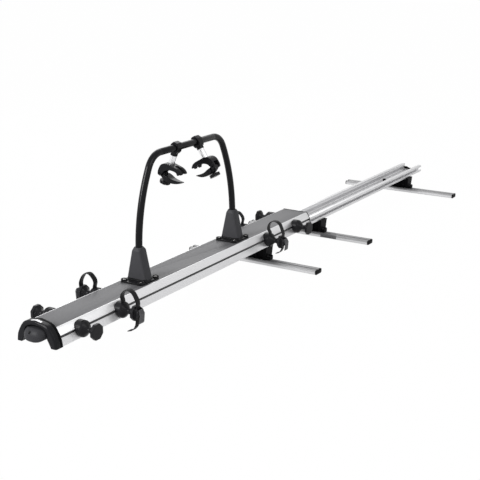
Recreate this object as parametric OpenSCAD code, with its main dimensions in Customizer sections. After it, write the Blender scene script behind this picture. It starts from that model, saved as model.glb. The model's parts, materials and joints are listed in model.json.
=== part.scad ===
// Roof mounted bike carrier for two bikes: a fixed base rail on three crossbars, and a carriage that slides
// out over its front end. An arch with two frame clamps and eight wheel holders stand on the carriage.
// Frame: origin at the centre of the front crossbar's underside, +X along the rail towards its parked end,
// +Y to the left of the carrier, +Z up. The carriage is drawn slid out, as it is loaded.

/* [Crossbars] */
// Length of a crossbar
bar_len = 632; // [500:2:900]
// Width of the crossbar profile, over both lobes
bar_w = 52; // [46:1:60]
// Height of the crossbar profile
bar_h = 20; // [18:1:24]
// Wall of the crossbar profile
bar_wall = 2; // [1.6:0.1:2.5]
// Front crossbar to middle crossbar
bar_gap_front = 509; // [450:1:700]
// Middle crossbar to rear crossbar
bar_gap_rear = 1043; // [900:1:1060]
// How far the rear crossbar sits to the right of the other two
bar_shift_rear = 16; // [0:1:30]
// Mouth of the T-slot along the top of a crossbar
bar_slot_w = 8.4; // [8.2:0.1:9]
// Thickness of a crossbar's end cap outside the profile
bar_cap_t = 4; // [3:0.5:6]

/* [Saddles] */
// Height of a saddle, from the crossbar's top to the rail's underside
saddle_h = 56; // [50:1:70]
// Length of a saddle along the rail, at its body
saddle_len = 60; // [54:1:64]
// How far the saddle's middle lies behind the crossbar's
saddle_shift = 20; // [14:1:22]
// Width of a saddle under the rail
saddle_top_w = 142; // [124:1:146]
// Width of a saddle on the crossbar
saddle_foot_w = 130; // [120:1:134]
// Thickness of the saddle's top plate
saddle_plate_t = 5; // [4:0.5:8]
// Diameter of a saddle's clamp lobe
lobe_d = 21; // [19:0.5:24]
// Distance between the two clamp lobes of a saddle
lobe_pitch = 151; // [146:1:160]
// Clamp bolt diameter
bolt_d = 8; // [7.5:0.1:8]

/* [Base rail] */
// Length of the base rail
rail_len = 1816; // [1700:1:2000]
// How far the rail reaches in front of the front crossbar's centre
rail_front = 60; // [55:1:70]
// Width of the base rail over its track lips
rail_w = 117; // [113:1:118]
// Height of the base rail
rail_h = 35; // [35:1:38]
// Wall of the rail's floor
rail_floor_t = 3; // [2.5:0.1:4]
// Thickness of the track's lips
lip_t = 4; // [3:0.1:4]
// Depth of the side tracks
track_depth = 14.5; // [14.5:0.1:15.5]
// Height of the returns at the track's mouth: the upper and the lower one
return_h = [6, 8]; // [4:0.5:8]
// Thickness of the track's returns
return_t = 3; // [2:0.1:3]
// Thickness of the web between track and channel
web_t = 3.5; // [3:0.1:4.5]

/* [Carriage] */
// Length of the carriage profile
carriage_len = 1686; // [1650:1:1700]
// How far the carriage profile reaches in front of the front crossbar's centre when it is out
carriage_reach = 1315; // [1290:1:1330]
// Width of the carriage's flat top
top_w = 119; // [117:1:122]
// Width of the carriage at the slot in its sides
slot_face_w = 152; // [150:1:154]
// Width of the carriage at its bottom edges
skirt_w = 168; // [164:1:174]
// Height of the carriage profile
carriage_h = 61; // [58:1:64]
// Free height between the rail's top and the carriage's ceiling
ceiling_gap = 30; // [28:1:34]
// Thickness of the carriage's top wall, under the top panel
roof_t = 3; // [2.5:0.1:3.5]
// Thickness of the grey top panel
panel_t = 2; // [1.5:0.1:2.5]
// Height of the side slot's centre above the carriage's bottom edge
slot_rise = 31; // [30:0.5:33]
// Mouth of the side slot
slot_w = 8.5; // [8.2:0.1:9]
// Thickness of the slot's lips
slot_lip = 3.6; // [3:0.1:4]
// Height of the slot's inner room
slot_room_h = 14; // [13:0.5:15]
// Depth of the slot's inner room
slot_room_d = 6.4; // [5.8:0.1:7]
// Thickness of the wall behind the slot's room
slot_back_t = 2; // [1.5:0.1:2.5]
// Thickness of the dark trim on the carriage's rear end
trim_t = 3; // [2:0.5:5]

/* [Front cap] */
// Depth of the front cap along the rail
cap_depth = 34; // [30:1:40]
// Height of the cap's crown above the carriage's top
crown_rise = 21; // [16:1:26]
// Width of the front cap at its feet
cap_w = 171; // [168:1:180]
// How far the cap's feet reach below the carriage's bottom edge
cap_drop = 1; // [0:1:6]
// Wall of the cap's arch at its feet
cap_leg_w = 22; // [18:1:24]
// Width of the pull handle
flap_w = 92; // [84:1:96]
// Diameter of the lock barrel
lock_d = 10; // [8:0.5:12]
// Distance of the lock barrel from the handle's middle
lock_offset = 7; // [0:1:20]

/* [Rollers] */
// Diameter of a carriage roller in the side track
track_roller_d = 26.6; // [24:0.1:26.8]
// Width of a carriage roller
track_roller_w = 8; // [6:0.5:8.5]
// Carriage roller's centre from the carriage's rear end
track_roller_inset = 30; // [20:1:40]
// Diameter of a front roller, on the rail
front_roller_d = 36; // [30:0.5:38]
// Width of a front roller
front_roller_w = 18; // [14:0.5:20]
// Front roller's centre from the rail's front end
front_roller_inset = 32; // [28:1:36]
// Diameter of the front roller's axle
front_axle_d = 10; // [8:0.5:12]
// Diameter of the carriage roller's axle
track_axle_d = 8; // [7:0.5:9]
// Radial running clearance of a roller on its axle
roller_clear = 0.08; // [0.05:0.01:0.1]
// Gap left between a roller and the face that it runs along
run_gap = 0.2; // [0.1:0.05:0.3]
// Travel of the carriage outwards from the drawn place, up to the track stops
travel_out = 190; // [150:1:200]

/* [Arch] */
// Diameter of the arch's tube
tube_d = 26; // [24:0.5:28]
// Wall of the arch's tube
tube_wall = 2; // [1.5:0.1:3]
// Height of the arch's top bar above the carriage's top
arch_h = 451; // [440:1:470]
// Distance between the arch's two feet
arch_pitch = 630; // [610:1:650]
// Distance from the arch's middle to the front crossbar
arch_reach = 484; // [470:1:500]
// Bend radius of the arch's corners
arch_corner_r = 80; // [76:1:100]
// Bend radius of the arch's bowed legs
arch_leg_r = 650; // [600:10:700]
// Angle that each leg has turned inwards at its corner
arch_lean = 27; // [24:1:28]

/* [Arch feet] */
// Height of a foot above the carriage's top
foot_h = 127; // [115:1:135]
// Length of a foot's base plate along the rail
foot_plate_x = 110; // [100:1:120]
// Width of a foot's base plate
foot_plate_y = 98; // [90:1:104]
// Thickness of a foot's base plate
foot_plate_t = 6; // [5:0.5:8]
// Width of the foot's block at its base
foot_base_y = 88; // [76:1:90]
// Width of the foot's block at its top
foot_top_y = 38; // [36:1:44]
// Length of the foot's block along the rail
foot_block_x = 45; // [40:1:48]
// Diameter of the raised screw rings on the base plate
ring_d = 24; // [22:0.5:26]
// Height of the screw rings above the base plate
ring_h = 6; // [4:0.5:8]

/* [Wheel holders] */
// Front wheel of the right hand bike, ahead of the front crossbar
wheel_reach_right = 1115; // [1050:1:1130]
// Front wheel of the left hand bike, ahead of the front crossbar
wheel_reach_left = 1066; // [1050:1:1130]
// Distance between the right hand bike's wheels
wheelbase_right = 1227; // [1150:1:1250]
// Distance between the left hand bike's wheels
wheelbase_left = 1240; // [1150:1:1250]
// Distance between the two holders that grip the right hand bike's front wheel
front_grip_right = 207; // [190:1:250]
// Distance between the two holders that grip the right hand bike's rear wheel
rear_grip_right = 245; // [200:1:256]
// Distance between the two holders that grip the left hand bike's front wheel
front_grip_left = 242; // [190:1:256]
// Distance between the two holders that grip the left hand bike's rear wheel
rear_grip_left = 234; // [200:1:256]
// Diameter of a holder's inner flange and of its head, over the corners
flange_d = 58; // [52:1:60]
// Length of a holder, from the side slot to its head's outer face
spool_len = 74; // [68:1:80]
// Diameter of a holder's waist
waist_d = 21; // [18:0.5:26]
// Thickness of a holder's head
head_t = 12; // [9:0.5:14]
// Diameter of the T-bolt
stud_d = 6; // [5:0.5:6.5]
// Width of a wheel strap
strap_w = 22; // [18:1:24]
// Thickness of a wheel strap
strap_t = 2.6; // [2:0.1:3]
// Height of a closed strap's crown above the holder's axis
loop_h = 80; // [70:1:90]
// Height of the crown on the right hand bike's rear wheel, where the loop is wider
loop_h_wide = 87; // [80:1:90]
// Share of the free end that the wider loop leaves
wide_tail = 0.75; // [0.6:0.05:1]
// Length of the ratchet lever
lever_len = 48; // [44:1:52]

/* [Frame clamps] */
// Distance of the front clamp arm from the arch's middle
arm_offset_front = 74; // [71:1:90]
// Distance of the rear clamp arm from the arch's middle
arm_offset_rear = 65; // [62:1:90]
// Lean of the front arm from upright
arm_lean_front = 19; // [10:1:30]
// Lean of the rear arm from upright
arm_lean_rear = 31; // [20:1:35]
// Diameter of a clamp arm's tube
arm_tube_d = 24; // [20:0.5:25]
// Distance from the arch's bar to the top of the claw
claw_drop = 74; // [68:1:80]
// Width of a claw
claw_w = 42; // [38:1:46]
// Width of the slot between the upper jaw's two fingers
fork_gap = 16; // [12:1:20]
// Diameter of a clamp knob
knob_d = 42; // [38:1:46]
// Diameter of the lower jaw's hinge pin
jaw_pin_d = 6; // [5:0.5:7]

/* [Fits] */
// Radial clearance of a turning pin or collar
pin_clear = 0.08; // [0.05:0.01:0.1]
// Gap between parts that move past each other
move_gap = 0.4; // [0.3:0.05:0.6]
// Gap round a piece that is set into another
seat_gap = 0.2; // [0.1:0.05:0.3]

/* [Hidden] */
$fn = 48;
E = 1;  // how far a cut runs past the face that it opens

// Stack of heights from the crossbar's underside
rail_z = bar_h + saddle_h;
rail_top = rail_z + rail_h;
ceiling_z = rail_top + ceiling_gap;
panel_z = ceiling_z + roof_t;
top_z = panel_z + panel_t;
skirt_z = top_z - carriage_h;
slot_z = skirt_z + slot_rise;
bar_x = [0, bar_gap_front, bar_gap_front + bar_gap_rear];
bar_y = [0, 0, -bar_shift_rear];

// Ends of the rail and of the carriage
rail_x0 = -rail_front;
rail_x1 = rail_x0 + rail_len;
car_x0 = -carriage_reach;
car_x1 = car_x0 + carriage_len;
cap_x0 = car_x0 - cap_depth;

// Channel and tracks of the rail
channel_w = rail_w - 2 * track_depth - 2 * web_t;
channel_z = rail_z + rail_floor_t;
track_z0 = rail_z + lip_t;
track_z1 = rail_top - lip_t;
track_z = (track_z0 + track_z1) / 2;

// Park catch
catch_x = rail_x1 - 280;
catch_y = -10;
catch_pin_d = 6;

// Rollers
track_roller_x = car_x1 - track_roller_inset;
roller_side_gap = 2.8;
track_roller_y = rail_w / 2 - track_depth + roller_side_gap + track_roller_w / 2;
front_roller_x = rail_x0 + front_roller_inset;
front_roller_z = ceiling_z - run_gap - front_roller_d / 2;
front_roller_y = 3 + front_roller_w / 2;
cheek_t = 5;
cheek_y = front_roller_y + front_roller_w / 2 + 1.5;
stop_x1 = track_roller_x - travel_out - track_roller_d / 2 - move_gap;

// Arch: the top bar, the corners' ends and the legs
arch_x = -arch_reach;
arch_z = top_z + arch_h;
corner_dx = arch_corner_r * cos(arch_lean);
leg_dx = arch_leg_r * (1 - cos(arch_lean));
bend_break = 0.3;
arch_bar_half = arch_pitch / 2 - corner_dx - leg_dx;
corner_end_z = arch_z - arch_corner_r * (1 - sin(arch_lean));
leg_end_z = corner_end_z - arch_leg_r * sin(arch_lean);
foot_floor_z = top_z + foot_plate_t + 2;
foot_x = [arch_x - arch_pitch / 2, arch_x + arch_pitch / 2];
ring_x = foot_plate_x / 2 - ring_d / 2 + 1;
ring_y = foot_plate_y / 2 - ring_d / 2 + 1;

// Holders
wheel_reach = [wheel_reach_right, wheel_reach_left];
wheelbase = [wheelbase_right, wheelbase_left];
front_grip = [front_grip_right, front_grip_left];
rear_grip = [rear_grip_right, rear_grip_left];
function holder_x(side, i) = let (front = -wheel_reach[side], rear = front + wheelbase[side])
    i == 1 ? front - front_grip[side] / 2 : i == 2 ? front + front_grip[side] / 2
    : i == 3 ? rear - rear_grip[side] / 2 : rear + rear_grip[side] / 2;
SIDES = [-1, 1];
SIDE_NAMES = ["right", "left"];
STRAPPED = [2, 3];
slot_half_w = slot_face_w / 2;
hub_t = (skirt_w - slot_face_w) / 2 - 1;
seat_y = -10;
head_back = spool_len - head_t;
slot_y = hub_t + 8;
housing_y = spool_len;
housing_d = 17;
cheek_gap = strap_w + 2;
ratchet_pin = [spool_len + 12.5, 9];
ratchet_pin_d = 4;

// Clamp arms
ARMS = [-1, 1];
ARM_NAMES = ["front", "rear"];
arm_leans = [arm_lean_front, arm_lean_rear];
arm_offsets = [arm_offset_front, arm_offset_rear];
collar_w = 28;
jaw_pin = [26, -claw_drop - 42];
knob_at = 6;
jaw_cheek = 9;

black = [0.10, 0.10, 0.11];
silver = [0.80, 0.80, 0.82];
grey = [0.50, 0.50, 0.52];
steel = [0.70, 0.70, 0.72];

function has(list, value) = len([for (v = list) if (v == value) v]) > 0;

// Helpers: extrusions along X and Y, and outlines with rounded corners

// A (y, z) outline drawn along X
module along_x(x0, length) {
    translate([x0, 0, 0]) rotate([90, 0, 90]) linear_extrude(length) children();
}

// An (x, z) outline drawn along Y
module along_y(y0, length) {
    translate([0, y0 + length, 0]) rotate([90, 0, 0]) linear_extrude(length) children();
}

// A cylinder along X, centred on (x, y, z)
module rod_x(x, y, z, d, length) {
    translate([x - length / 2, y, z]) rotate([0, 90, 0]) cylinder(d = d, h = length);
}

// A cylinder along Y that starts at y
module rod_y(x, y, z, d, length) {
    translate([x, y, z]) rotate([-90, 0, 0]) cylinder(d = d, h = length);
}

module both_sides() {
    children();
    mirror([0, 1, 0]) children();
}

function unit(v) = v / norm(v);
function turn_to(a, b) = let (d = b - a) d > 180 ? d - 360 : d < -180 ? d + 360 : d;
function arc(c, r, a0, a1, n = 8) =
    [for (i = [0:n]) let (a = a0 + (a1 - a0) * i / n) c + r * [cos(a), sin(a)]];

// The points that round one corner p between its neighbours a and b
function fillet(a, p, b, r, n) =
    let (u = unit(a - p), v = unit(b - p), half = acos(max(-1, min(1, u * v))) / 2)
    r < 0.01 || half > 88 ? [p] :
    let (t = min(r / tan(half), 0.48 * min(norm(a - p), norm(b - p))), rr = t * tan(half),
         c = p + unit(u + v) * rr / sin(half), s = p + u * t - c, e = p + v * t - c,
         a0 = atan2(s[1], s[0]), sweep = turn_to(a0, atan2(e[1], e[0])))
    arc(c, rr, a0, a0 + sweep, n);

// An outline whose corners are rounded, by one radius or by a list of them
function rounded(pts, r, n = 4) =
    let (m = len(pts))
    [for (i = [0:m - 1])
        each fillet(pts[(i + m - 1) % m], pts[i], pts[(i + 1) % m], is_list(r) ? r[i] : r, n)];

function mirrored(pts) = concat(pts, [for (i = [len(pts) - 1:-1:0]) [-pts[i][0], pts[i][1]]]);

// A smooth line through points, and the band of a given thickness along it
function spline(p, a, b, c, t) = 0.5 * ((2 * a) + (b - p) * t + (2 * p - 5 * a + 4 * b - c) * t * t
    + (3 * a - p - 3 * b + c) * t * t * t);
function smooth(pts, steps) = concat(
    [for (i = [0:len(pts) - 2]) for (j = [0:steps - 1])
        spline(pts[max(i - 1, 0)], pts[i], pts[i + 1], pts[min(i + 2, len(pts) - 1)], j / steps)],
    [pts[len(pts) - 1]]);
function side_of(path, i) =
    let (a = path[max(i - 1, 0)], b = path[min(i + 1, len(path) - 1)], d = unit(b - a)) [-d[1], d[0]];
function band(path, t) = concat(
    [for (i = [0:len(path) - 1]) path[i] + side_of(path, i) * t / 2],
    [for (i = [len(path) - 1:-1:0]) path[i] - side_of(path, i) * t / 2]);

// Crossbars: a double lobed profile with a T-slot along its top
lobe_r = 7;
slot_drop = 1.6;
bar_room_w = 14.4;
bar_room_h = 5;
bar_lip = 2.4;

module bar_outline() {
    half = bar_w / 2;
    dip = bar_slot_w / 2 + 1;
    polygon(rounded([[-half, 0], [half, 0], [half, bar_h], [bar_slot_w, bar_h], [dip, bar_h - slot_drop],
        [-dip, bar_h - slot_drop], [-bar_slot_w, bar_h], [-half, bar_h]],
        [lobe_r, lobe_r, lobe_r, 3, 1, 1, 3, lobe_r], 6));
}

module bar_section() {
    half = bar_w / 2;
    room_z = bar_h - slot_drop - bar_lip - bar_room_h;
    tube_half = bar_room_w / 2 + bar_wall;
    difference() {
        bar_outline();
        translate([-bar_slot_w / 2, room_z + E]) square([bar_slot_w, bar_h]);
        translate([-bar_room_w / 2, room_z]) square([bar_room_w, bar_room_h]);
        for (s = [-1, 1])
            polygon(rounded([[s * tube_half, bar_wall], [s * (half - bar_wall), bar_wall],
                [s * (half - bar_wall), bar_h - bar_wall], [s * tube_half, bar_h - bar_wall]], 3));
        translate([-bar_room_w / 2, bar_wall]) square([bar_room_w, room_z - 2 * bar_wall]);
    }
}

module crossbar(k) {
    color(silver) translate([bar_x[k], bar_y[k], 0]) along_y(-bar_len / 2, bar_len) bar_section();
}

module crossbar_caps() {
    plug_half = bar_w / 2 - bar_wall - seat_gap;
    plug_in = bar_room_w / 2 + bar_wall + seat_gap;
    plug_z = bar_wall + seat_gap;
    plug_len = 12;
    color(black) for (k = [0:2]) translate([bar_x[k], bar_y[k], 0]) both_sides() {
        along_y(bar_len / 2, bar_cap_t) bar_outline();
        for (s = [-1, 1]) along_y(bar_len / 2 - plug_len, plug_len + E)
            polygon(rounded([[s * plug_in, plug_z], [s * plug_half, plug_z],
                [s * plug_half, bar_h - plug_z], [s * plug_in, bar_h - plug_z]], 3));
    }
}

// Saddles: a tapered block with pockets, bolted to the crossbar's slot through a lobe on each side
saddle_pocket = 9;
saddle_rib = 7;
saddle_brow = 4;
saddle_hem = 6;
lobe_h = 17;
bolt_seat_d = 15;
bolt_seat_h = 5;

module saddle(x) {
    top = saddle_top_w / 2;
    foot = saddle_foot_w / 2;
    z1 = rail_z - saddle_plate_t;
    pocket_z0 = bar_h + saddle_hem;
    pocket_z1 = z1 - saddle_brow;
    function wall_y(z) = foot + (top - foot) * (z - bar_h) / saddle_h;
    pocket_w = 2 * (wall_y(pocket_z0) - saddle_rib) / 3 - saddle_rib;
    color(black) translate([x + saddle_shift, 0, 0]) difference() {
        union() {
            along_x(-saddle_len / 2, saddle_len)
                polygon([[-foot, bar_h], [foot, bar_h], [wall_y(z1), z1], [-wall_y(z1), z1]]);
            along_x(-saddle_len / 2 - 2, saddle_len + 4)
                polygon(rounded([[-top, z1], [top, z1], [top, rail_z], [-top, rail_z]], [2, 2, 0, 0]));
            for (s = [-1, 1]) for (lobe_x = [-saddle_shift, 0]) {
                translate([lobe_x, s * lobe_pitch / 2, bar_h]) cylinder(d = lobe_d, h = lobe_h);
                translate([lobe_x - lobe_d / 2, s > 0 ? foot - 4 : -lobe_pitch / 2, bar_h])
                    cube([lobe_d, lobe_pitch / 2 - foot + 4, lobe_h - 4]);
            }
            for (s = [-1, 1]) translate([-saddle_shift, s * lobe_pitch / 2 - lobe_d / 2, bar_h])
                cube([saddle_shift, lobe_d, lobe_h]);
        }
        for (s = [-1, 1]) {
            for (k = [-1, 0, 1]) translate([s > 0 ? saddle_len / 2 - saddle_pocket : -saddle_len / 2 - E,
                k * (pocket_w + saddle_rib) - pocket_w / 2, pocket_z0])
                cube([saddle_pocket + E, pocket_w, pocket_z1 - pocket_z0]);
            translate([-saddle_shift, s * lobe_pitch / 2, bar_h - E])
                cylinder(d = bolt_d + 0.4, h = lobe_h + 2 * E);
            translate([-saddle_shift, s * lobe_pitch / 2, bar_h + lobe_h - bolt_seat_h])
                cylinder(d = bolt_seat_d, h = bolt_seat_h + E);
        }
    }
}

module saddle_bolts() {
    nut_z = bar_h - slot_drop - bar_lip - bar_room_h;
    color(steel) for (x = bar_x) both_sides() translate([x, lobe_pitch / 2, 0]) {
        translate([0, 0, nut_z + 0.3]) cylinder(d = bolt_d, h = bar_h + lobe_h - bolt_seat_h - nut_z + 2);
        translate([0, 0, bar_h + lobe_h - bolt_seat_h]) difference() {
            cylinder(d = 13, h = 6.5);
            translate([0, 0, 3]) cylinder(d = 6.6, h = 5, $fn = 6);
        }
        translate([-bar_room_w / 2 + 0.3, -9, nut_z + 0.3]) cube([bar_room_w - 0.6, 18, bar_room_h - 0.3]);
    }
}

// Base rail: an open channel with an outward track on each side
ridge = 1.6;

module rail_section() {
    half = rail_w / 2;
    web = half - track_depth;
    back = half - return_t;
    wall = channel_w / 2;
    ledge = rail_top - 12;
    polygon(mirrored(concat(
        [[half - 1, rail_z], [half, rail_z + 1], [half, track_z0 + return_h[1]],
         [back, track_z0 + return_h[1]], [back, track_z0], [web + 2.5, track_z0], [web, track_z0 + 2.5],
         [web, track_z1 - 2.5], [web + 2.5, track_z1], [back, track_z1], [back, track_z1 - return_h[0]],
         [half, track_z1 - return_h[0]], [half, rail_top - 1], [half - 1, rail_top], [wall, rail_top],
         [wall, ledge + ridge], [wall - ridge, ledge], [wall - ridge, ledge - ridge],
         [wall, ledge - 2 * ridge], [wall, channel_z + 3], [wall - 3, channel_z]],
        [for (y = [24, 9]) each [[y + 2, channel_z], [y + 1, channel_z + ridge], [y - 1, channel_z + ridge],
         [y - 2, channel_z]]])));
}

module base_rail() {
    color(silver) difference() {
        along_x(rail_x0, rail_len) rail_section();
        for (x = bar_x) both_sides()
            translate([x, 30, rail_z - E]) cylinder(d = 6.6, h = rail_floor_t + ridge + 2 * E);
    }
    color(steel) translate([catch_x, catch_y, rail_z + 1]) cylinder(d = catch_pin_d, h = rail_floor_t + 9);
}

// The dark plug that closes the channel's parked end below a hollow edge
module rail_end_plug() {
    wall = channel_w / 2 - seat_gap;
    z0 = channel_z + ridge + seat_gap;
    z1 = rail_top - 13 - 2 * ridge;
    notch_r = rail_top - channel_z + 16;
    color(black) difference() {
        along_x(rail_x1 - 6, 7) polygon(rounded([[3 - wall, z0], [wall - 3, z0], [wall, channel_z + 6],
            [wall, z1], [-wall, z1], [-wall, channel_z + 6]], 1));
        rod_x(rail_x1, 0, rail_top + 24, 2 * notch_r, 20);
    }
}

module front_roller_block() {
    top = front_roller_z + 9;
    z0 = channel_z + ridge;
    x0 = rail_x0 + 6;
    x1 = rail_x0 + 58;
    half_w = cheek_y + cheek_t;
    color(steel) {
        difference() {
            union() {
                translate([x0, -half_w, z0]) cube([x1 - x0, 2 * half_w, 4]);
                both_sides() along_y(cheek_y, cheek_t) polygon(rounded([[x0, z0], [x1, z0],
                    [front_roller_x + 12, top], [front_roller_x - 12, top]], [0, 0, 9, 9]));
            }
            rod_y(front_roller_x, -60, front_roller_z, front_axle_d, 120);
        }
        rod_y(front_roller_x, -half_w - 1, front_roller_z, front_axle_d, 2 * (half_w + 1));
    }
}

module front_rollers() {
    color(grey) both_sides() difference() {
        rod_y(front_roller_x, front_roller_y - front_roller_w / 2, front_roller_z, front_roller_d,
            front_roller_w);
        rod_y(front_roller_x, 0, front_roller_z, front_axle_d + 2 * roller_clear, 60);
    }
}

module track_stops() {
    web = rail_w / 2 - track_depth;
    out = rail_w / 2 - return_t - seat_gap;
    color(black) both_sides() along_x(stop_x1 - 20, 20)
        polygon([[web + 3, track_z0], [out, track_z0], [out, track_z1 - seat_gap],
            [web + 3, track_z1 - seat_gap], [web + seat_gap, track_z1 - 3], [web + seat_gap, track_z0 + 3]]);
}

// The sprung catch in the channel's floor that holds the parked carriage
module park_catch() {
    z = channel_z + ridge + 0.2;
    color(black) translate([catch_x, catch_y, z]) difference() {
        union() {
            cylinder(d = 16, h = 8);
            linear_extrude(8) polygon(rounded([[0, -6], [-30, -9], [-62, 4], [-86, 20], [-90, 14], [-70, -8],
                [-36, -17], [0, -8]], 2));
            translate([-88, 12, 0]) cube([12, 12, 14]);
        }
        translate([0, 0, -E]) cylinder(d = catch_pin_d + 2 * pin_clear, h = 20);
    }
}

// Carriage: the sliding profile, its top panel and end pieces
leg_wall = 9.5;
leg_slant = 2;
inner_leg_y = skirt_w / 2 - leg_wall;
room_y1 = slot_half_w - slot_lip;
room_y0 = room_y1 - slot_room_d;
back_y = room_y0 - slot_back_t;

module carriage_section() {
    land = slot_w / 2 + 1;
    room = slot_room_h / 2;
    foot = skirt_w / 2;
    half = [[top_w / 2, top_z], [top_w / 2 + 2, top_z - 1.4], [slot_half_w, slot_z + land + 0.5],
        [slot_half_w, slot_z + slot_w / 2], [room_y1, slot_z + slot_w / 2], [room_y1, slot_z + room],
        [room_y0, slot_z + room], [room_y0, slot_z - room], [room_y1, slot_z - room],
        [room_y1, slot_z - slot_w / 2], [slot_half_w, slot_z - slot_w / 2], [slot_half_w, slot_z - land],
        [foot, skirt_z + 3], [foot, skirt_z + 1], [foot - 1, skirt_z], [inner_leg_y, skirt_z],
        [inner_leg_y, skirt_z + 4], [inner_leg_y - leg_slant, slot_z - room - 5], [back_y + 2, slot_z - room - 3],
        [back_y, slot_z - room - 1], [back_y, slot_z + room + 3], [back_y + 1, slot_z + room + 5],
        [top_w / 2 - 4, ceiling_z], [6, ceiling_z], [4, ceiling_z + 0.6], [0, ceiling_z + 0.6]];
    panel_half = top_w / 2 - 2;
    difference() {
        polygon(mirrored(half));
        translate([-panel_half - seat_gap, panel_z]) square([2 * (panel_half + seat_gap), panel_t + E]);
    }
}

module carriage_shell() {
    color(silver) difference() {
        along_x(car_x0, carriage_len) carriage_section();
        for (x = foot_x) for (sx = [-1, 1]) both_sides()
            translate([x + sx * ring_x, ring_y, ceiling_z - E]) cylinder(d = 6.6, h = roof_t + 2 * E);
    }
}

module top_panel() {
    panel_half = top_w / 2 - 2;
    color(grey) difference() {
        along_x(car_x0, carriage_len) translate([-panel_half, panel_z]) square([2 * panel_half, panel_t]);
        for (x = foot_x) for (sx = [-1, 1]) both_sides()
            translate([x + sx * ring_x, ring_y, panel_z - E]) cylinder(d = 6.6, h = panel_t + 2 * E);
    }
}

// The dark trim frames the rear end of the profile
module rear_trim() {
    out = 1;
    y1 = slot_half_w + out;
    room = slot_room_h / 2;
    color(black) along_x(car_x1, trim_t)
        polygon(mirrored([[top_w / 2 + out, top_z + out], [y1, slot_z + slot_w / 2 + 1],
            [y1, slot_z - slot_w / 2 - 1], [skirt_w / 2 + out, skirt_z - out],
            [inner_leg_y - 1, skirt_z - out], [inner_leg_y - 1, skirt_z + 4],
            [inner_leg_y - 3, slot_z - room - 6], [back_y - 1, slot_z - room - 2],
            [back_y - 1, slot_z + room + 3], [top_w / 2 - 5, ceiling_z - 1]]));
}

// Rear rollers run in the rail's side tracks on stub axles from the carriage's skirt
module rear_roller_axles() {
    y0 = track_roller_y - track_roller_w / 2;
    sleeve_y = rail_w / 2 + 1;
    color(steel) both_sides() {
        rod_y(track_roller_x, y0 - 1, track_z, track_axle_d, sleeve_y - y0 + 2);
        rod_y(track_roller_x, sleeve_y, track_z, track_axle_d + 6,
            inner_leg_y - leg_slant + seat_gap - sleeve_y);
        rod_y(track_roller_x, y0 - 1.3, track_z, track_axle_d + 4, 1);
    }
}

module rear_rollers() {
    color(grey) both_sides() difference() {
        rod_y(track_roller_x, track_roller_y - track_roller_w / 2, track_z, track_roller_d,
            track_roller_w);
        rod_y(track_roller_x, 0, track_z, track_axle_d + 2 * roller_clear, 90);
    }
}

// Front cap: an arched hood with two feet, and the pull handle that hangs in its opening
cap_z0 = skirt_z - cap_drop;
crown_z = top_z + crown_rise;
cap_side = cap_w / 2;
flap_z1 = crown_z - 22;
flap_z0 = cap_z0 + 18;
flap_z = (flap_z0 + flap_z1) / 2;
handle_pin_x = cap_x0 + 8;
handle_pin_z = flap_z1 - 8;
handle_pin_d = 6;
handle_back = cap_x0 + 12;
handle_r = 35;
handle_axis = [cap_x0 + 10, flap_z - 8];
handle_power = 2.4;
handle_gap = [1.5, 6];
lock_z = flap_z + 9;
lock_sink = 1;

function cap_arch(inset) = [[cap_side - inset, cap_z0], [cap_side - 5 - inset, cap_z0 + 28],
    [top_w / 2 + 2.5 - inset, top_z - 2], [top_w / 2 - 17 - inset, crown_z - 8 - inset],
    [0, crown_z - inset]];

// The share of its middle that a rounded outline keeps at t, from 0 in the middle to 1 at its end
function round_share(t) = pow(max(0, 1 - pow(abs(t), handle_power)), 1 / handle_power);

module cap_outline() {
    polygon(mirrored(concat([[cap_side - cap_leg_w, cap_z0]], smooth(cap_arch(0), 5))));
}

module cap_opening() {
    leg = cap_side - cap_leg_w;
    half = flap_w / 2 + handle_gap[0];
    half_h = (flap_z1 - flap_z0) / 2 + handle_gap[1];
    polygon(mirrored(concat([[leg, cap_z0 - E], [(leg + half) / 2, cap_z0 + 15], [half, flap_z - 11]],
        [for (a = [0:10:90]) [half * cos(a), flap_z + half_h * round_share(cos(a))]])));
}

module front_cap() {
    bevel = 5;
    plug_half = top_w / 2 - 8;
    plug_z = rail_top + 12;
    plug_in = 25;
    foot = cap_side - cap_leg_w;
    color(black) {
        difference() {
            union() {
                along_x(cap_x0 + bevel, cap_depth - bevel) cap_outline();
                hull() {
                    along_x(cap_x0 + bevel, 0.1) polygon(mirrored(smooth(cap_arch(0), 5)));
                    along_x(cap_x0, 0.1) polygon(mirrored(smooth(cap_arch(bevel), 5)));
                }
            }
            along_x(cap_x0 - E, cap_depth - 12 + E) cap_opening();
            along_x(cap_x0 - E, cap_depth + 2 * E) polygon([[-foot, cap_z0 - E], [foot, cap_z0 - E],
                [foot - 18, flap_z0 + 8], [18 - foot, flap_z0 + 8]]);
            rod_y(handle_pin_x, -flap_w / 2 - 1, handle_pin_z, handle_pin_d + 2 * pin_clear, flap_w + 2);
        }
        translate([car_x0 - E, -plug_half, plug_z])
            cube([plug_in + E, 2 * plug_half, ceiling_z - plug_z - seat_gap]);
    }
}

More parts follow.
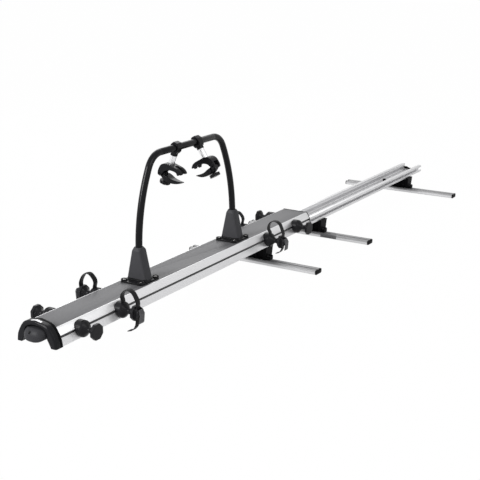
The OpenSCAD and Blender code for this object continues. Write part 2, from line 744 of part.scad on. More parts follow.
// A round-bellied handle: a turned form about a Y axis, cut to its outline and to its flat back
module pull_handle() {
    half = flap_w / 2;
    half_h = (flap_z1 - flap_z0) / 2;
    turns = [for (k = [-10:10]) sin(9 * k)];
    color(black) difference() {
        union() {
            intersection() {
                translate([handle_axis[0], 0, handle_axis[1]]) rotate([90, 0, 0]) rotate_extrude($fn = 96)
                    polygon([for (t = turns) [handle_r * round_share(t), half * t]]);
                along_x(handle_back - 2 * handle_r, 2 * handle_r) polygon(concat(
                    [for (t = turns) [half * t, flap_z - half_h * round_share(t)]],
                    [for (k = [len(turns) - 2:-1:1])
                        [half * turns[k], flap_z + half_h * round_share(turns[k])]]));
            }
            rod_y(handle_pin_x, -half, handle_pin_z, handle_pin_d, flap_w);
        }
        rod_x(cap_x0, lock_offset, lock_z, lock_d + 2 * pin_clear, 100);
    }
}

module lock_barrel() {
    r = handle_r * round_share(2 * lock_offset / flap_w);
    x = handle_axis[0] + lock_sink - sqrt(pow(r, 2) - pow(lock_z - handle_axis[1], 2));
    color(steel) difference() {
        rod_x((x + handle_back) / 2, lock_offset, lock_z, lock_d, handle_back - x);
        translate([x - E, lock_offset - 0.8, lock_z - 3]) cube([3, 1.6, 6]);
    }
}

// Arch: a bent tube whose legs bow inwards and turn into the top bar
module ring_profile(inset = 0) {
    difference() {
        circle(d = tube_d - 2 * inset);
        circle(d = tube_d - 2 * tube_wall + 2 * inset);
    }
}

// A bend is drawn thinner than the straight parts by this much, and they run over its ends by the lap
bend_inset = 0.1;
lap = 1;

// A stretch of tube bent about a Y axis through (x, z): from angle a, turning by sweep
module bend(x, z, r, a, sweep) {
    translate([x, 0, z]) rotate([90, -a, 0]) rotate_extrude(angle = sweep, $fn = 180)
        translate([r, 0]) ring_profile(bend_inset);
}

module arch_half() {
    leg_x = arch_x + arch_pitch / 2 - arch_leg_r;
    bend(arch_x + arch_bar_half, arch_z - arch_corner_r, arch_corner_r, arch_lean + bend_break,
        90 - arch_lean - bend_break);
    translate([leg_x, 0, leg_end_z]) rotate([0, -arch_lean, 0]) translate([arch_leg_r, 0, -lap])
        linear_extrude(2 * lap) ring_profile();
    bend(leg_x, leg_end_z, arch_leg_r, 0, arch_lean - bend_break / 8);
    translate([foot_x[1], 0, foot_floor_z]) linear_extrude(leg_end_z - foot_floor_z + lap) ring_profile();
}

module arch_tube() {
    color(black) {
        along_x(arch_x - arch_bar_half - lap, 2 * (arch_bar_half + lap))
            translate([0, arch_z]) ring_profile();
        arch_half();
        translate([2 * arch_x, 0, 0]) mirror([1, 0, 0]) arch_half();
    }
}

// Arch foot: a base plate with four screw rings and a tapered block that takes the tube
module arch_foot(x) {
    r = 8;
    top = top_z + foot_h;
    px = foot_plate_x / 2;
    py = foot_plate_y / 2;
    color([0.14, 0.14, 0.15]) translate([x, 0, 0]) difference() {
        union() {
            translate([0, 0, top_z]) linear_extrude(foot_plate_t)
                polygon(rounded([[-px, -py], [px, -py], [px, py], [-px, py]], 14, 6));
            hull() {
                for (sx = [-1, 1]) for (sy = [-1, 1]) {
                    translate([sx * (foot_block_x / 2 - r), sy * (foot_base_y / 2 - r), top_z + 2])
                        cylinder(r = r, h = 1, $fn = 24);
                    translate([sx * (foot_block_x / 2 - r), sy * (foot_top_y / 2 - r), top - 14])
                        sphere(r = r, $fn = 24);
                }
                translate([0, 0, top - 1]) cylinder(d = tube_d + 8, h = 1, $fn = 32);
            }
            for (sx = [-1, 1]) for (sy = [-1, 1])
                translate([sx * ring_x, sy * ring_y, top_z]) cylinder(d = ring_d, h = foot_plate_t + ring_h);
        }
        translate([0, 0, foot_floor_z - 0.2]) cylinder(d = tube_d + 2 * pin_clear, h = foot_h + 20);
        for (sx = [-1, 1]) for (sy = [-1, 1]) translate([sx * ring_x, sy * ring_y, top_z]) {
            translate([0, 0, foot_plate_t]) cylinder(d = ring_d - 7, h = ring_h + E);
            translate([0, 0, -E]) cylinder(d = 6.6, h = foot_plate_t + 2 * E);
        }
    }
}

module foot_screws() {
    color(steel) for (x = foot_x) for (sx = [-1, 1]) both_sides() translate([x + sx * ring_x, ring_y, 0]) {
        translate([0, 0, top_z + foot_plate_t]) difference() {
            cylinder(d1 = 13, d2 = 10, h = 3.6);
            translate([0, 0, 1.4]) cylinder(d = 5.8, h = 4, $fn = 6);
        }
        translate([0, 0, ceiling_z - 7]) cylinder(d = 6, h = top_z + foot_plate_t - ceiling_z + 7.5);
        translate([0, 0, ceiling_z - 5]) cylinder(d = 11.5, h = 5, $fn = 6);
    }
}

// Wheel holders: local frame with +Y outwards from the side slot and Z up
module at_holder(side, i) {
    translate([holder_x(side, i), SIDES[side] * slot_half_w, slot_z])
        mirror([0, SIDES[side] > 0 ? 0 : 1, 0]) children();
}

module t_bolt(side, i) {
    head = slot_room_d - 0.9;
    color(steel) at_holder(side, i) {
        translate([-10, -slot_lip - head, -slot_room_h / 2 + 0.4]) cube([20, head, slot_room_h - 0.8]);
        rod_y(0, -slot_lip - E, 0, stud_d, slot_lip + E + head_back - 4);
    }
}

// The outline of the carriage's side as a holder meets it, with the gap to the holder's seat
module carriage_side() {
    land = slot_w / 2 + 1;
    top = top_z - slot_z + seat_gap;
    foot_y = skirt_w / 2 - slot_half_w + seat_gap;
    polygon([[-slot_half_w, top], [top_w / 2 + 2 - slot_half_w + seat_gap, top], [seat_gap, land + 0.5],
        [seat_gap, -land], [foot_y, skirt_z + 3 - slot_z], [foot_y, skirt_z - slot_z - 1],
        [-slot_half_w, skirt_z - slot_z - 1]]);
}

// The turned form of a spool: bell-shaped flange, waist and the cone under the head
function spool_profile() =
    let (f = flange_d / 2, w = waist_d / 2, h = head_back)
    concat([[0, seat_y], [f - 2, seat_y], [f, seat_y + 2]],
        smooth([[f, hub_t + 10], [f - 2.5, hub_t + 15], [f - 9, hub_t + 21], [w + 3.5, hub_t + 27],
            [w, hub_t + 34], [w + 2, h - 12], [w + 8, h - 5], [f - 5, h]], 3),
        [[f - 5, h + 1], [0, h + 1]]);

module spool(side, i) {
    strapped = has(STRAPPED, i);
    color(black) at_holder(side, i) difference() {
        union() {
            rotate([-90, 0, 0]) rotate_extrude() polygon(spool_profile());
            translate([0, head_back, 0]) rotate([-90, 22.5, 0]) cylinder(d = flange_d, h = head_t, $fn = 8);
            if (strapped) ratchet_housing();
        }
        rod_y(0, seat_y - E, 0, stud_d + 0.4, head_back - 2 - seat_y);
        along_x(-flange_d, 2 * flange_d) carriage_side();
        translate([-strap_w / 2 - 0.6, slot_y - strap_t / 2 - 0.6, 13])
            cube([strap_w + 1.2, strap_t + 1.2, 20]);
        if (strapped) ratchet_pin_hole();
    }
}

// The housing on a strapped holder's head: two cheeks that carry the ratchet lever
module ratchet_housing() {
    t = 3;
    end = housing_y + housing_d;
    for (s = [-1, 1]) along_x(s > 0 ? cheek_gap / 2 : -cheek_gap / 2 - t, t)
        polygon(rounded([[housing_y - E, -20], [housing_y + 8, -20], [end, -2], [end, 12],
            [housing_y + 10, 18], [housing_y - E, 18]], [0, 3, 4, 4, 4, 0]));
}

module ratchet_pin_hole() {
    rod_x(0, ratchet_pin[0], ratchet_pin[1], ratchet_pin_d + 2 * pin_clear, cheek_gap + 20);
}

// The strap's loop, from the slot in the flange over the tyre to the ratchet and down to its free end
function strap_path(wide) =
    let (y0 = slot_y, y1 = housing_y + 3.2, top = wide ? loop_h_wide : loop_h, lean = wide ? 9 : 4,
         tail = wide ? wide_tail : 1)
    smooth([[y0, 14], [y0, flange_d / 2], [y0 - lean / 3, flange_d / 2 + 7], [y0 - lean, flange_d / 2 + 19],
        [y0 + 5 - lean, top - 18], [y0 + 24 - lean, top - 2],
        [y0 + 43, top - 8], [y1 - 4, loop_h - 29], [y1 + 1.5, 34], [y1, 18], [y1, 0], [y1 - 1, -20],
        [y1 - 5 * tail, -44 * tail], [y1 - 19 * tail, -63 * tail], [y1 - 40 * tail, -71 * tail]], 4);

module strap(side, i) {
    wide = SIDE_NAMES[side] == "right" && i == STRAPPED[1];
    color(black) at_holder(side, i) along_x(-strap_w / 2, strap_w) polygon(band(strap_path(wide), strap_t));
}

// The ratchet lever: a curved plate on a pin between the cheeks
module lever(side, i) {
    y = ratchet_pin[0];
    z = ratchet_pin[1];
    end = z - lever_len;
    width = cheek_gap - 1.2;
    color(grey) at_holder(side, i) {
        rod_x(0, y, z, ratchet_pin_d, cheek_gap + 8);
        along_x(-width / 2, width)
            polygon(rounded([[y - 3.5, z + 4], [y + 5, z + 6], [y + 12, z - 6], [y + 9, end + 10],
                [y + 5, end + 4], [y + 3, end + 6], [y + 7, z - 12], [y + 2, z - 4]], 2));
    }
}

// Clamp arms: local frame with the origin on the arch's bar, -Z down the arm and -Y towards the jaws' tips
module at_arm(a) {
    translate([arch_x + ARMS[a] * arm_offsets[a], 0, arch_z])
        mirror([0, a, 0]) rotate([arm_leans[a], 0, 0]) children();
}

module arm_plate(width) {
    along_x(-width / 2, width) children();
}

collar_r = tube_d / 2 + 5;
collar_socket = 14;

module collar(a) {
    r = collar_r;
    color(black) at_arm(a) difference() {
        union() {
            arm_plate(collar_w) polygon(rounded([[-r, 8 - r], [6 - r, -r - 4], [r - 6, -r - 4], [r, 8 - r],
                [r, r - 10], [9, r + 4], [-9, r + 4], [-r, r - 10]], 3));
            translate([0, 0, -r - collar_socket]) cylinder(d = arm_tube_d + 4, h = collar_socket);
        }
        rod_x(0, 0, 0, tube_d + 2 * pin_clear, collar_w + 2 * E);
        translate([0, 0, -r - collar_socket - E]) cylinder(d = arm_tube_d, h = collar_socket + 2 + E);
    }
}

module arm_tube(a) {
    color(silver) at_arm(a) translate([0, 0, -claw_drop - 12]) difference() {
        cylinder(d = arm_tube_d, h = claw_drop + 12 - collar_r + 2);
        translate([0, 0, -E]) cylinder(d = arm_tube_d - 4, h = claw_drop + 40);
    }
}

// Upper jaw: a curved hook with two fingers, on a socket that turns on the arm tube
function claw_outline(z) = concat(
    smooth([[-65, z - 7], [-54, z + 2], [-38, z + 6], [-14, z + 6], [8, z + 5], [25, z - 2], [35, z - 15],
        [38, z - 38]], 3),
    [[35, z - 50], [22, z - 52]],
    smooth([[18, z - 42], [10, z - 26], [-4, z - 16], [-24, z - 10], [-42, z - 10]], 3),
    [[-48, z - 17], [-53, z - 17], [-56, z - 9], [-63, z - 11]]);

module claw(a) {
    z = -claw_drop;
    color(black) at_arm(a) difference() {
        union() {
            arm_plate(claw_w) polygon(rounded(claw_outline(z), 3));
            translate([0, 0, z - 14]) cylinder(d = arm_tube_d + 8, h = 17);
        }
        translate([-fork_gap / 2, -90, z - 40]) cube([fork_gap, 68, 60]);
        translate([0, 0, z - 12 - 0.3]) cylinder(d = arm_tube_d + 2 * pin_clear, h = 40);
        translate([-claw_w / 2 + jaw_cheek, 12, z - 70]) cube([claw_w - 2 * jaw_cheek, 50, 46]);
        rod_x(0, jaw_pin[0], jaw_pin[1], jaw_pin_d, claw_w + 2 * E);
    }
}

// Lower jaw: a pointed scoop hinged at the heel of the claw
function jaw_outline(z) = concat(
    smooth([[10, z - 40], [-4, z - 42], [-24, z - 45], [-48, z - 43], [-72, z - 38]], 3),
    smooth([[-72, z - 41], [-50, z - 55], [-26, z - 62], [-2, z - 63], [10, z - 58]], 3));

module jaw(a) {
    z = -claw_drop;
    w = claw_w - 2 * jaw_cheek - 2 * move_gap;
    color(black) at_arm(a) difference() {
        union() {
            intersection() {
                arm_plate(claw_w - 4) polygon(rounded(jaw_outline(z), 2));
                translate([0, 0, z - 90]) linear_extrude(80)
                    polygon(rounded([[2 - claw_w / 2, 20], [2 - claw_w / 2, -10], [-5, -74], [5, -74],
                        [claw_w / 2 - 2, -10], [claw_w / 2 - 2, 20]], 5));
            }
            arm_plate(w) polygon(rounded([[0, z - 44], [16, z - 34], [28, z - 32], [35, z - 44], [28, z - 54],
                [10, z - 63], [-2, z - 62]], 4));
        }
        rod_x(0, jaw_pin[0], jaw_pin[1], jaw_pin_d + 2 * pin_clear, claw_w);
        translate([0, knob_at, z - 80]) cylinder(d = 8 + 2 * pin_clear, h = 60);
    }
}

// The knob under the lower jaw that draws it shut
module knob(a) {
    z = -claw_drop - 64 - move_gap;
    color(black) at_arm(a) translate([0, knob_at, z]) {
        difference() {
            translate([0, 0, -14]) cylinder(d = knob_d, h = 12);
            for (k = [0:7]) rotate(k * 45) translate([knob_d / 2 + 5, 0, -20]) cylinder(d = 13, h = 19);
        }
        translate([0, 0, -3]) cylinder(d = 18, h = 3);
        translate([0, 0, -5]) cylinder(d = 8, h = 18);
    }
}

base_rail();
rail_end_plug();
crossbar(0);  // crossbar_front
crossbar(1);  // crossbar_middle
crossbar(2);  // crossbar_rear
crossbar_caps();
saddle(bar_x[0]);  // saddle_front
saddle(bar_x[1]);  // saddle_middle
saddle(bar_x[2]);  // saddle_rear
saddle_bolts();
front_roller_block();
track_stops();
front_rollers();
park_catch();
carriage_shell();
top_panel();
front_cap();
rear_trim();
arch_tube();
arch_foot(foot_x[0]);  // arch_foot_front
arch_foot(foot_x[1]);  // arch_foot_rear
foot_screws();
rear_roller_axles();
rear_rollers();
pull_handle();
lock_barrel();
for (s = [0, 1]) for (i = [1:4]) {
    t_bolt(s, i);
    spool(s, i);
}
for (s = [0, 1]) for (i = STRAPPED) {
    strap(s, i);
    lever(s, i);
}
for (a = [0, 1]) {
    collar(a);
    arm_tube(a);
    claw(a);
    jaw(a);
    knob(a);
}
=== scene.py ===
"""Looks of a roof mounted bike carrier: a rail on crossbars, a sliding carriage, an arch with two
frame clamps, and eight wheel holders. Metres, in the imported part's own frame."""

import json
import logging
import math
from dataclasses import dataclass
from enum import Enum
from typing import Callable, Iterable, Sequence

import bmesh
import bpy
from mathutils import Matrix, Vector
from mathutils.bvhtree import BVHTree

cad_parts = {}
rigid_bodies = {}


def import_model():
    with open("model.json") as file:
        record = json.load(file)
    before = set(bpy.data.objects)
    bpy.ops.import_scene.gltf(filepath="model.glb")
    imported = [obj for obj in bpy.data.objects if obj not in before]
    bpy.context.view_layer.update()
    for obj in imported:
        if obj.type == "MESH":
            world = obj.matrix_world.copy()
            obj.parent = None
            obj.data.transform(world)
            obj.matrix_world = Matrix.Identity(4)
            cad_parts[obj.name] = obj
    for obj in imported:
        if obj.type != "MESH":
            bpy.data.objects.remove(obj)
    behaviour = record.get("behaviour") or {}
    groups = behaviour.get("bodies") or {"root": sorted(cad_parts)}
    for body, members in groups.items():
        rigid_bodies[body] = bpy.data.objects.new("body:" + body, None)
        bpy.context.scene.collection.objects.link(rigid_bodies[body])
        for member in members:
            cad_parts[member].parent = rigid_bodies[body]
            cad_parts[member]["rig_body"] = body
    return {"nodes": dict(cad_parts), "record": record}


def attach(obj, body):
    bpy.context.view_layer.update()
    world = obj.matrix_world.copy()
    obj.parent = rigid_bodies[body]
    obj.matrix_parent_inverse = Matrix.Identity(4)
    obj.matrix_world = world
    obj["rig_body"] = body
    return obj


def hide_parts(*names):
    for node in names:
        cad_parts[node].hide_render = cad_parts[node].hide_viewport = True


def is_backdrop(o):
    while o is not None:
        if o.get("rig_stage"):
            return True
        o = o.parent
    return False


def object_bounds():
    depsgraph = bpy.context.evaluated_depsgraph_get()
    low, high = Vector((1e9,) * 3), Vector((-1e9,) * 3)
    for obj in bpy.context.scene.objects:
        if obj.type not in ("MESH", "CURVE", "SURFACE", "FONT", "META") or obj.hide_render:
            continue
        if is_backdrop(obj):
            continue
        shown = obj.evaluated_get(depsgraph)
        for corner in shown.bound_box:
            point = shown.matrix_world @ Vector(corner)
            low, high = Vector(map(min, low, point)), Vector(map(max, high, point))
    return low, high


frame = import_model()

LOG = logging.getLogger("bike_carrier")
MM = 0.001
X, Z = Vector((1, 0, 0)), Vector((0, 0, 1))

# The wheel holders on each side, and those of them that have a strap
HOLDER_NUMBERS = (1, 2, 3, 4)
STRAPPED_NUMBERS = (2, 3)

# How the copies of the CAD nodes are worked, with the angles in radians
MERGE_DISTANCE = 0.002 * MM
FLAT_ANGLE = math.radians(0.6)
SHARP_ANGLE = 0.5
BROKEN_EDGE = 0.25 * MM
BEVEL_STEPS = 2
SMOOTH_FACTOR = 0.5
KEPT_SHARE = 0.3
ROUNDS = 4

# The angles between faces past which an edge is shaded sharp, in degrees
DRAWN_CREASE = 32.0
STRAP_CREASE = 40.0
MOULDED_CREASE = 60.0


class Slot(Enum):
    """The record's material slots."""

    PROFILE = "silver_profile"
    PANEL = "grey_panel"
    PLASTIC = "black_plastic"
    TUBE = "black_tube"
    STEEL = "steel"
    NYLON = "roller_nylon"
    STRAP = "strap_rubber"
    STOP = "stop_rubber"
    LEVER = "lever_grey"
    ARM = "silver_tube"


class Side(Enum):
    """A side of the carriage, by its word in the nodes' names."""

    RIGHT = "right"
    LEFT = "left"


class End(Enum):
    """The front or rear one of a pair, by its word in the nodes' names."""

    FRONT = "front"
    REAR = "rear"


# Shared shader node groups


def new_group(name: str, inputs: dict[str, float],
              outputs: dict[str, str]) -> bpy.types.ShaderNodeTree:
    """Makes an empty shader node group.

    Args:
        name: the group's name.
        inputs: float inputs and their default values.
        outputs: outputs and their socket types, Float, Color or Vector.

    Returns:
        The group, with its input and output nodes named In and Out.
    """
    group = bpy.data.node_groups.new(name, "ShaderNodeTree")
    for label, value in inputs.items():
        socket = group.interface.new_socket(label, in_out="INPUT", socket_type="NodeSocketFloat")
        socket.default_value = value
    for label, kind in outputs.items():
        group.interface.new_socket(label, in_out="OUTPUT", socket_type="NodeSocket" + kind)
    group.nodes.new("NodeGroupInput").name = "In"
    group.nodes.new("NodeGroupOutput").name = "Out"
    return group


def math_node(tree: bpy.types.ShaderNodeTree, operation: str, a: object,
              b: object) -> bpy.types.NodeSocket:
    """Adds a Math node.

    Args:
        tree: the node tree.
        operation: the Math node's operation.
        a: first value, a socket or a number.
        b: second value, a socket or a number.

    Returns:
        The node's output socket.
    """
    node = tree.nodes.new("ShaderNodeMath")
    node.operation = operation
    for socket, value in zip(node.inputs, (a, b)):
        if isinstance(value, bpy.types.NodeSocket):
            tree.links.new(value, socket)
        else:
            socket.default_value = value
    return node.outputs[0]


def noise_node(tree: bpy.types.ShaderNodeTree, scale: Sequence[float],
               detail: float) -> bpy.types.NodeSocket:
    """Adds a noise texture on object coordinates, stretched by a scale for each axis.

    Args:
        tree: the node tree.
        scale: the pattern's scale along X, Y and Z, per metre.
        detail: the noise's detail.

    Returns:
        The noise's value, from 0 to 1.
    """
    place = tree.nodes.new("ShaderNodeTexCoord")
    stretch = tree.nodes.new("ShaderNodeMapping")
    stretch.inputs["Scale"].default_value = scale
    noise = tree.nodes.new("ShaderNodeTexNoise")
    noise.inputs["Scale"].default_value = 1.0
    noise.inputs["Detail"].default_value = detail
    tree.links.new(place.outputs["Object"], stretch.inputs["Vector"])
    tree.links.new(stretch.outputs[0], noise.inputs["Vector"])
    return noise.outputs["Fac"]


def centred(tree: bpy.types.ShaderNodeTree, value: bpy.types.NodeSocket,
            amount: object) -> bpy.types.NodeSocket:
    """Turns a 0 to 1 value into one around zero, times an amount."""
    return math_node(tree, "MULTIPLY", math_node(tree, "SUBTRACT", value, 0.5), amount)


def mixed(tree: bpy.types.ShaderNodeTree, first: bpy.types.NodeSocket, second: bpy.types.NodeSocket,
          share: float) -> bpy.types.NodeSocket:
    """Adds two patterns by their shares.

    Args:
        tree: the node tree.
        first: the first pattern's value.
        second: the second pattern's value.
        share: the first pattern's share.

    Returns:
        The sum.
    """
    return math_node(tree, "ADD", math_node(tree, "MULTIPLY", first, share),
                     math_node(tree, "MULTIPLY", second, 1.0 - share))


def drawn_lines_group(name: str, lines_scale: Sequence[float], clouds_scale: Sequence[float],
                      lines_share: float = 0.7) -> bpy.types.ShaderNodeTree:
    """The fine lines that a die leaves along an extrusion, with the slow clouds of its anodising.

    Args:
        name: the group's name.
        lines_scale: the lines' scale along X, Y and Z, low along the extrusion.
        clouds_scale: the clouds' scale along X, Y and Z.
        lines_share: the lines' share of the tone.

    Returns:
        A group that puts out Tone and Rough, added to a finish's own values, and Height for a bump.
    """
    group = new_group(name, {"Tone": 0.06, "Rough": 0.1},
                      {"Tone": "Float", "Rough": "Float", "Height": "Float"})
    nodes, links = group.nodes, group.links
    lines = noise_node(group, lines_scale, 3.0)
    clouds = noise_node(group, clouds_scale, 2.0)
    tone = mixed(group, lines, clouds, lines_share)
    links.new(centred(group, tone, nodes["In"].outputs["Tone"]), nodes["Out"].inputs["Tone"])
    links.new(centred(group, lines, nodes["In"].outputs["Rough"]), nodes["Out"].inputs["Rough"])
    links.new(lines, nodes["Out"].inputs["Height"])
    return group


def moulded_grain_group(name: str, marks_scale: float = 38.0,
                        grain_share: float = 0.35) -> bpy.types.ShaderNodeTree:
    """The spark-eroded grain of a moulded or powder coated surface, with slow handling marks.

    Args:
        name: the group's name.
        marks_scale: the marks' scale, per metre.
        grain_share: the grain's share of the tone.

    Returns:
        A group that puts out Tone and Rough, added to a finish's own values, and Height for a bump.
    """
    group = new_group(name, {"Grain": 1500.0, "Tone": 0.02, "Rough": 0.12},
                      {"Tone": "Float", "Rough": "Float", "Height": "Float"})
    nodes, links = group.nodes, group.links
    place = nodes.new("ShaderNodeTexCoord")
    cells = nodes.new("ShaderNodeTexVoronoi")
    links.new(place.outputs["Object"], cells.inputs["Vector"])
    links.new(nodes["In"].outputs["Grain"], cells.inputs["Scale"])
    marks = noise_node(group, (marks_scale, marks_scale, marks_scale), 4.0)
    tone = mixed(group, cells.outputs["Distance"], marks, grain_share)
    links.new(centred(group, tone, nodes["In"].outputs["Tone"]), nodes["Out"].inputs["Tone"])
    links.new(centred(group, marks, nodes["In"].outputs["Rough"]), nodes["Out"].inputs["Rough"])
    links.new(cells.outputs["Distance"], nodes["Out"].inputs["Height"])
    return group


class Texture(Enum):
    """The shared patterns, by the name of their node group."""

    DRAWN = "drawn_lines"
    DRAWN_ACROSS = "drawn_lines_across"
    GRAIN = "moulded_grain"

    def group(self) -> bpy.types.ShaderNodeTree:
        """Finds the pattern's node group, or builds it at its first use.

        Returns:
            The node group.
        """
        made = bpy.data.node_groups.get(self.value)
        if made is not None:
            return made
        if self is Texture.DRAWN:
            return drawn_lines_group(self.value, (2.0, 700.0, 700.0), (5.0, 22.0, 22.0))
        if self is Texture.DRAWN_ACROSS:
            return drawn_lines_group(self.value, (700.0, 2.0, 700.0), (22.0, 5.0, 22.0))
        return moulded_grain_group(self.value)


@dataclass(frozen=True)
class Finish:
    """One surface finish: its colour, gloss and fine pattern."""

    name: str
    tone: tuple[float, float, float]
    roughness: float
    metallic: float = 0.0
    texture: Texture = Texture.GRAIN
    tone_change: float = 0.02
    rough_change: float = 0.12
    grain: float = 1500.0
    bump: float = 0.1
    bump_depth: float = 0.05 * MM
    specular: float = 0.5

    def material(self) -> bpy.types.Material:
        """Finds the finish's material, or builds it at its first use.

        Returns:
            The material.
        """
        made = bpy.data.materials.get(self.name)
        if made is not None:
            return made
        made = bpy.data.materials.new(self.name)
        made.use_nodes = True
        tree = made.node_tree
        shader = tree.nodes["Principled BSDF"]
        shader.inputs["Metallic"].default_value = self.metallic
        shader.inputs["Specular IOR Level"].default_value = self.specular
        pattern = tree.nodes.new("ShaderNodeGroup")
        pattern.node_tree = self.texture.group()
        pattern.inputs["Tone"].default_value = self.tone_change
        pattern.inputs["Rough"].default_value = self.rough_change
        if self.texture is Texture.GRAIN:
            pattern.inputs["Grain"].default_value = self.grain
        shade = tree.nodes.new("ShaderNodeVectorMath")
        shade.operation = "ADD"
        shade.inputs[0].default_value = self.tone
        tree.links.new(pattern.outputs["Tone"], shade.inputs[1])
        tree.links.new(shade.outputs[0], shader.inputs["Base Color"])
        gloss = math_node(tree, "ADD", pattern.outputs["Rough"], self.roughness)
        tree.links.new(gloss, shader.inputs["Roughness"])
        bump = tree.nodes.new("ShaderNodeBump")
        bump.inputs["Strength"].default_value = self.bump
        bump.inputs["Distance"].default_value = self.bump_depth
        tree.links.new(pattern.outputs["Height"], bump.inputs["Height"])
        tree.links.new(bump.outputs[0], shader.inputs["Normal"])
        return made


class Look(Enum):
    """The finishes of the real pieces, and darker or brighter copies of some of them that carry
    painted shade or painted light.
    """

    PROFILE = Finish("anodised_profile", (0.72, 0.72, 0.73), 0.34, 0.75, Texture.DRAWN, 0.05, 0.1,
                     bump=0.12)
    RAIL = Finish("anodised_rail", (0.66, 0.66, 0.67), 0.36, 0.7, Texture.DRAWN, 0.06, 0.06,
                  bump=0.03)
    CHANNEL = Finish("anodised_channel", (0.64, 0.64, 0.65), 0.4, 0.6, Texture.DRAWN, 0.05, 0.06,
                     bump=0.03)
    # Painted light: a brighter copy of the rail's anodised finish, for the faces inside its side
    # tracks, where it lightens the shade.
    TRACK = Finish("anodised_track_painted_light", (0.95, 0.95, 0.96), 0.35, 0.9, Texture.DRAWN, 0.04, 0.06,
                   bump=0.03)
    # Painted shade: a dark copy of the anodised finish, for the faces inside the slots, where shade
    # falls.
    GROOVE = Finish("anodised_groove_painted_shade", (0.22, 0.22, 0.225), 0.6, 0.3, Texture.DRAWN, 0.01, 0.08,
                    bump=0.1)
    BAR = Finish("anodised_bar", (0.6, 0.6, 0.61), 0.34, 0.75, Texture.DRAWN_ACROSS, 0.04, 0.08,
                 bump=0.08)
    # Painted shade: a darker copy of the crossbar's finish, for its upper faces, drawn as if less
    # light fell on them.
    BAR_TOP = Finish("anodised_bar_top_painted_shade", (0.3, 0.3, 0.305), 0.45, 0.35, Texture.DRAWN_ACROSS,
                     0.03, 0.08, bump=0.08, specular=0.15)
    PATCH = Finish("grey_patch", (0.16, 0.16, 0.165), 0.6, 0.0, Texture.DRAWN_ACROSS, 0.01, 0.08,
                   bump=0.08, specular=0.2)
    PANEL = Finish("grey_coating", (0.105, 0.105, 0.11), 0.48, 0.05, Texture.DRAWN, 0.014, 0.08,
                   bump=0.1, specular=0.25)
    PLASTIC = Finish("black_moulding", (0.012, 0.012, 0.0135), 0.3, tone_change=0.005, bump=0.1,
                     specular=0.1)
    HOOD = Finish("black_hood_moulding", (0.009, 0.009, 0.0105), 0.3, tone_change=0.004,
                  bump=0.08, specular=0.1)
    HANDLE = Finish("black_handle_moulding", (0.03, 0.03, 0.033), 0.42, tone_change=0.006,
                    bump=0.1, specular=0.08)
    FOOT = Finish("black_foot_moulding", (0.048, 0.048, 0.052), 0.42, tone_change=0.006,
                  bump=0.15, specular=0.06)
    GLOSS_PLASTIC = Finish("black_clamp_moulding", (0.007, 0.007, 0.008), 0.28,
                           tone_change=0.004, bump=0.05, specular=0.12)
    # Painted shade: a near black copy of the black moulding, for pieces and bands that lie in
    # shade.
    SHADED_PLASTIC = Finish("black_moulding_painted_shade", (0.0025, 0.0025, 0.003), 0.5,
                            tone_change=0.002, bump=0.1, specular=0.04)
    TUBE = Finish("black_powder_coat", (0.004, 0.004, 0.005), 0.26, tone_change=0.002,
                  rough_change=0.04, grain=2200.0, bump=0.0, specular=0.14)
    STEEL = Finish("zinc_plate", (0.62, 0.61, 0.6), 0.3, 0.9, tone_change=0.06, grain=700.0,
                   bump=0.08)
    DARK_STEEL = Finish("black_oxide", (0.01, 0.01, 0.011), 0.4, 0.3, tone_change=0.004,
                        grain=900.0, bump=0.08, specular=0.3)
    NYLON = Finish("turned_nylon", (0.16, 0.16, 0.165), 0.5, tone_change=0.02, bump=0.1)
    STRAP = Finish("strap_moulding", (0.009, 0.009, 0.01), 0.45, tone_change=0.004, bump=0.1,
                   specular=0.12)
    STOP = Finish("stop_rubber", (0.02, 0.02, 0.02), 0.85, tone_change=0.01, bump=0.4)
    LEVER = Finish("lever_moulding", (0.06, 0.06, 0.064), 0.38, tone_change=0.01, bump=0.1,
                   specular=0.2)
    ARM = Finish("bright_tube", (0.8, 0.8, 0.81), 0.2, 0.85, Texture.GRAIN, 0.02, 0.06, bump=0.03)
    PLATE = Finish("bright_plate", (0.62, 0.62, 0.63), 0.4, 0.6, Texture.DRAWN_ACROSS, 0.03, 0.06,
                   bump=0.05)


SLOT_LOOKS: dict[Slot, Look] = {slot: Look[slot.name] for slot in Slot}


# Camera, floor and light


@dataclass(frozen=True)
class Lamp:
    """One soft square lamp: its name, place, edge, and power in watts."""

    name: str
    place: tuple[float, float, float]
    size: float
    power: float

    def hang(self, aim: Vector) -> None:
        """Hangs the lamp so that it faces a point.

        Args:
            aim: the point.
        """
        data = bpy.data.lights.new(self.name, "AREA")
        data.energy, data.size = self.power, self.size
        lamp = bpy.data.objects.new(self.name, data)
        lamp.location = self.place
        lamp.rotation_mode = "QUATERNION"
        lamp.rotation_quaternion = (aim - Vector(self.place)).to_track_quat("-Z", "Y")
        bpy.context.scene.collection.objects.link(lamp)


